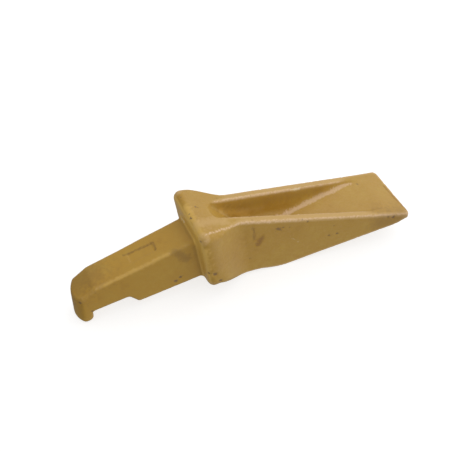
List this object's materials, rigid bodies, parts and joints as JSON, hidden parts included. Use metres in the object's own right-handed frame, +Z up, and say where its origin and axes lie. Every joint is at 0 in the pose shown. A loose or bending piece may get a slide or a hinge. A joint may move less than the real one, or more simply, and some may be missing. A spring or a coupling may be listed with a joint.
{
  "type": "bucket tooth",
  "caption": "Cast steel digging tooth with a hooked tapering leg, a rounded shoulder and a broad wedge blade whose top is scooped out.",
  "frame": {"origin": "on the floor, under the middle of the tooth's length and width, with the tooth lying on the toe of its hook and the round of its belly", "axes": "+X towards the cutting edge, +Y across the tooth, +Z up; the leg's axis rises towards the cutting edge by about 8.5 degrees"},
  "size_m": [0.4073, 0.0876, 0.1029],
  "materials": {
    "painted_steel": "satin ochre paint, thin and worn on the edges, over a cast surface"
  },
  "bodies": {
    "root": {"bucket_tooth": "painted_steel"}
  },
  "joints": []
}
